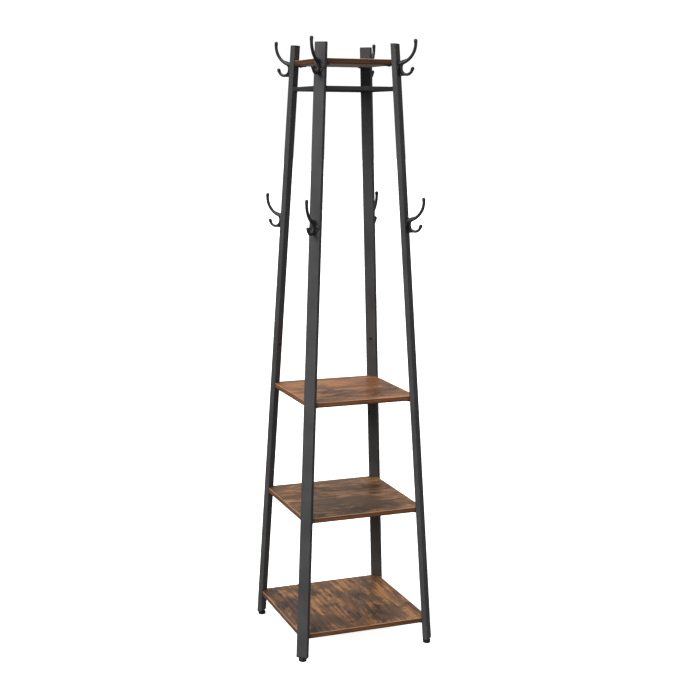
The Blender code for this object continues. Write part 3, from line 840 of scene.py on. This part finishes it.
def leg_frame(corner):
    """A leg's own frame, turned to its corner."""
    return Matrix.Rotation(math.radians(CORNERS[corner]), 4, "Z") @ Matrix.Translation((FLOOR_REACH, 0, 0))


def on_leg(height, facing=1):
    """A frame on a leg's outer face (1) or inner face (-1): x leaves the face, z runs up the leg."""
    centre = Matrix.Translation((-SLOPE * height, 0, height)) @ Matrix.Rotation(-LEAN, 4, "Y")
    turn = Matrix.Rotation(0 if facing == 1 else math.pi, 4, "Z")
    return centre @ turn @ Matrix.Translation((LEG_DEPTH / 2, 0, 0))


def put_hook(level, corner, height):
    """A coat hook with its two screws."""
    name = f"coat_hook_{level}_{corner}"
    place = leg_frame(corner) @ on_leg(height)
    mesh = casting.copy()
    mesh.transform(place)
    put(f"{name}_cast", mesh, [hook_coat], "stand", name, 80)
    for letter, side in zip("ab", (-1, 1)):
        seat = Matrix.Translation((GAP + PLATE_THICKNESS - 0.0003, side * HOOK_SCREW_SPACING / 2, 0))
        twist = Matrix.Rotation(0.6 + side * 0.9 + height, 4, "Z")
        screw_name = f"hook_screw_{level}_{corner}_{letter}"
        mesh = mesh_of(screw_name, [hook_screw], place @ seat @ FACING @ twist)
        put(f"{screw_name}_cross", mesh, [blackened_steel], "stand", screw_name)


def put_foot(corner):
    """The pad and the stud of one levelling foot, each on its own body."""
    low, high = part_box(f"foot_pad_{corner}")
    middle = Matrix.Translation(((low.x + high.x) / 2, (low.y + high.y) / 2, 0))
    mesh = mesh_of("pad", [pad((high.x - low.x) / 2)], middle)
    name = f"foot_pad_{corner}"
    put(f"{name}_fluted", mesh, [foot_plastic], f"pad_{corner}", name)
    mesh = mesh_of("stud", [stud()], middle)
    name = f"foot_stud_{corner}"
    put(f"{name}_threaded", mesh, [zinc_steel], f"stud_{corner}", name)


def put_leg(corner):
    """A leg with everything that is fixed to it."""
    place = leg_frame(corner)
    bottoms = [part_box(name)[0].z for name in BOARDS]
    lower = [leg_tube(TUBE_BOTTOM, JOINT_HEIGHT), joint_sleeve()]
    for bottom in bottoms[:3]:
        lower += tab(bottom)
    upper = [leg_tube(JOINT_HEIGHT + GAP, TUBE_TOP), *tab(bottoms[3])]
    name = f"lower_leg_{corner}"
    put(f"{name}_tube", mesh_of(name, lower, place), [leg_coat], "stand", name)
    name = f"upper_leg_{corner}"
    put(f"{name}_tube", mesh_of(name, upper, place), [leg_coat], "stand", name)
    name = f"leg_cap_{corner}"
    put(f"{name}_lid", mesh_of(name, leg_cap(), place), [black_plastic], "stand", name)
    name = f"sleeve_screw_{corner}"
    seat = place @ on_leg(JOINT_HEIGHT + SLEEVE_SCREW_RISE, -1) @ Matrix.Translation((GAP, 0, 0)) @ FACING
    mesh = mesh_of(name, [pan_screw], seat)
    put(f"{name}_cross", mesh, [blackened_steel], "stand", name)
    for board_name, bottom in zip(BOARDS, bottoms):
        reach = inner_reach(bottom) - TAB_SCREW_REACH - FLOOR_REACH
        spot = Matrix.Translation((reach, 0, bottom - 2 * GAP - TAB_THICKNESS))
        seat = place @ spot @ Matrix.Rotation(math.pi, 4, "X") @ Matrix.Rotation(reach * 90, 4, "Z")
        name = f"board_screw_{board_name}_{corner}"
        put(name, mesh_of(name, [board_screw], seat), [blackened_steel], "stand")
    put_hook("top", corner, TOP_HOOK_HEIGHT)
    put_hook("low", corner, LOW_HOOK_HEIGHT)
    put_foot(corner)


# The hall tree

leg_coat = powder_coat("charcoal_powder_coat", tint(60, 60, 60), tint(72, 72, 72), tint(106, 106, 106), 0.56)
# Painted shade: the tie bars get a darker copy of the legs' powder coat, standing in for the shade on them.
bar_coat_painted_shade = powder_coat("tie_bar_coat_painted_shade", tint(44, 44, 44), tint(52, 52, 52), tint(96, 96, 96), 0.56)
hook_coat = powder_coat(
    "cast_hook_black", tint(36, 36, 37), tint(44, 44, 45), tint(76, 76, 76), 0.42, peel=0.00012
)
blackened_steel = screw_steel("blackened_screw_steel", tint(38, 38, 40), tint(62, 62, 64), 0.42)
zinc_steel = screw_steel("zinc_plated_steel", tint(150, 152, 156), tint(186, 188, 190), 0.3)
black_plastic = moulded_plastic("black_cap_plastic", tint(34, 34, 35), tint(58, 58, 58), 0.5)
foot_plastic = moulded_plastic("black_foot_plastic", tint(26, 26, 27), tint(48, 48, 48), 0.42)
foil = backing_foil("pale_backing_foil")

casting = cast_hook()
hook_screw = screw(HOOK_SCREW_RADIUS, HOOK_SCREW_HEAD, HOOK_SCREW_DOME, True)
pan_screw = screw(PAN_SCREW_RADIUS, PAN_SCREW_HEAD, PAN_SCREW_DOME, False)
board_screw = screw(BOARD_SCREW_RADIUS, BOARD_SCREW_HEAD, BOARD_SCREW_DOME, False)

for corner in CORNERS:
    put_leg(corner)
    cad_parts[f"foot_plug_{corner}"].data.materials.clear()
    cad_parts[f"foot_plug_{corner}"].data.materials.append(black_plastic)

bar_shells = tie_bar()
for side, angle in SIDES.items():
    name = f"tie_bar_{side}"
    mesh = mesh_of(name, bar_shells, Matrix.Rotation(math.radians(angle), 4, "Z"))
    put(f"{name}_welded", mesh, [bar_coat_painted_shade], "stand", name)

# Each board's knots: x along the grain, y across it and size
KNOTS = {
    "shelf_bottom": [(0.057, 0.091, 0.009), (-0.06, -0.174, 0.007), (0.16, -0.03, 0.006)],
    "shelf_middle": [(0.10, 0.0, 0.009), (-0.12, -0.16, 0.006), (0.11, -0.14, 0.005)],
    "shelf_upper": [(-0.045, -0.008, 0.008), (0.08, -0.10, 0.007), (0.14, 0.02, 0.006)],
    "top_board": [(0.02, 0.03, 0.006)],
}
# Each board's print: where its pattern starts, whether its grain runs front to back, how warm it is and how
# light its edge band is
PRINTS = {
    "shelf_bottom": (18.9, True, 0.1, 1.0),
    "shelf_middle": (28.9, False, 0.1, 1.0),
    "shelf_upper": (37.0, False, 0.9, 1.05),
    "top_board": (51.0, False, 0.6, 0.6),
}
for name, (seed, turned_round, warmth, tone) in PRINTS.items():
    print_top = rustic_board(f"rustic_print_{name}", seed, turned_round, KNOTS[name], warmth)
    band = edge_band(f"edge_band_{name}", warmth, tone)
    put(f"{name}_board", board_mesh(name), [print_top, band, foil], "stand", name)

# The studio

CAMERA_SPOT = Vector((-1.3772, -3.6035, 1.5605))
CAMERA_AZIMUTH, CAMERA_PITCH, CAMERA_ROLL = math.radians(21.224), math.radians(-10.002), math.radians(0.285)
CAMERA_LENS = 67.0
FLOOR_SPREAD, WALL_REACH = 60, 50


def put_camera():
    """The camera looks along its azimuth, from +Y to +X, and down by its pitch. Its roll lifts its right."""
    data = bpy.data.cameras.new("camera")
    data.lens = CAMERA_LENS
    data.sensor_width = 36
    data.clip_end = 200
    camera = bpy.data.objects.new("camera", data)
    bpy.context.scene.collection.objects.link(camera)
    level, across, along = math.cos(CAMERA_PITCH), math.sin(CAMERA_AZIMUTH), math.cos(CAMERA_AZIMUTH)
    ahead = Vector((across * level, along * level, math.sin(CAMERA_PITCH)))
    flat_right = Vector((along, -across, 0))
    flat_up = flat_right.cross(ahead)
    right = math.cos(CAMERA_ROLL) * flat_right + math.sin(CAMERA_ROLL) * flat_up
    up = right.cross(ahead)
    turn = Matrix((right, up, -ahead)).transposed().to_4x4()
    camera.matrix_world = Matrix.Translation(CAMERA_SPOT) @ turn
    bpy.context.scene.camera = camera


def put_sun(name, spot, power, width):
    """A soft light from the direction of a spot, as wide across the sky as this angle in degrees."""
    data = bpy.data.lights.new(name, "SUN")
    data.energy = power
    data.angle = math.radians(width)
    light = bpy.data.objects.new(name, data)
    light.rotation_euler = Vector(spot).to_track_quat("Z", "Y").to_euler()
    bpy.context.scene.collection.objects.link(light)


def put_backdrop(name, mesh, white, hidden_from):
    """A piece of the studio, which these kinds of ray don't meet."""
    backdrop = bpy.data.objects.new(name, mesh)
    backdrop.data.materials.append(white.material)
    bpy.context.scene.collection.objects.link(backdrop)
    for kind in hidden_from:
        setattr(backdrop, f"visible_{kind}", False)


def put_floor():
    """A plain white floor that lights nothing. Its own glow leaves only a trace of the shadows on it."""
    white = Finish("studio_white", Roughness=0.9, Specular_IOR_Level=0.0, Emission_Strength=0.88)
    white.shade("Base Color", (0.93, 0.93, 0.93, 1))
    white.shade("Emission Color", (1, 1, 1, 1))
    mesh = bpy.data.meshes.new("floor")
    corners = [(x * FLOOR_SPREAD, y * FLOOR_SPREAD, 0) for x, y in ((-1, -1), (1, -1), (1, 1), (-1, 1))]
    mesh.from_pydata(corners, [], [(0, 1, 2, 3)])
    put_backdrop("floor", mesh, white, ("diffuse", "glossy"))


def put_wall():
    """A plain bright wall all round, which the camera sees and which lights nothing."""
    bright = Finish("studio_wall", Emission_Strength=1.05)
    bright.shade("Base Color", (0, 0, 0, 1))
    bright.shade("Emission Color", (1, 1, 1, 1))
    mesh = mesh_of("wall", [Shell(turned([(WALL_REACH, -1), (WALL_REACH, 60), (1, 60.5)], 64))])
    put_backdrop("wall", mesh, bright, ("diffuse", "glossy", "transmission", "shadow"))


put_camera()
put_floor()
put_wall()
put_sun("key", (-4.5, -2.3, 3.6), 2.6, 40)
put_sun("top", (0.3, 1.6, 4.6), 1.5, 70)
put_sun("fill", (3.6, -3.6, 1.8), 0.3, 60)
put_sun("back", (1.6, 3.4, 1.25), 0.05, 50)
world = bpy.data.worlds.new("studio")
world.use_nodes = True
sky = world.node_tree.nodes["Background"].inputs
sky["Color"].default_value = (1, 1, 1, 1)
sky["Strength"].default_value = 0.2
bpy.context.scene.world = world
bpy.context.scene.view_settings.view_transform = "Standard"
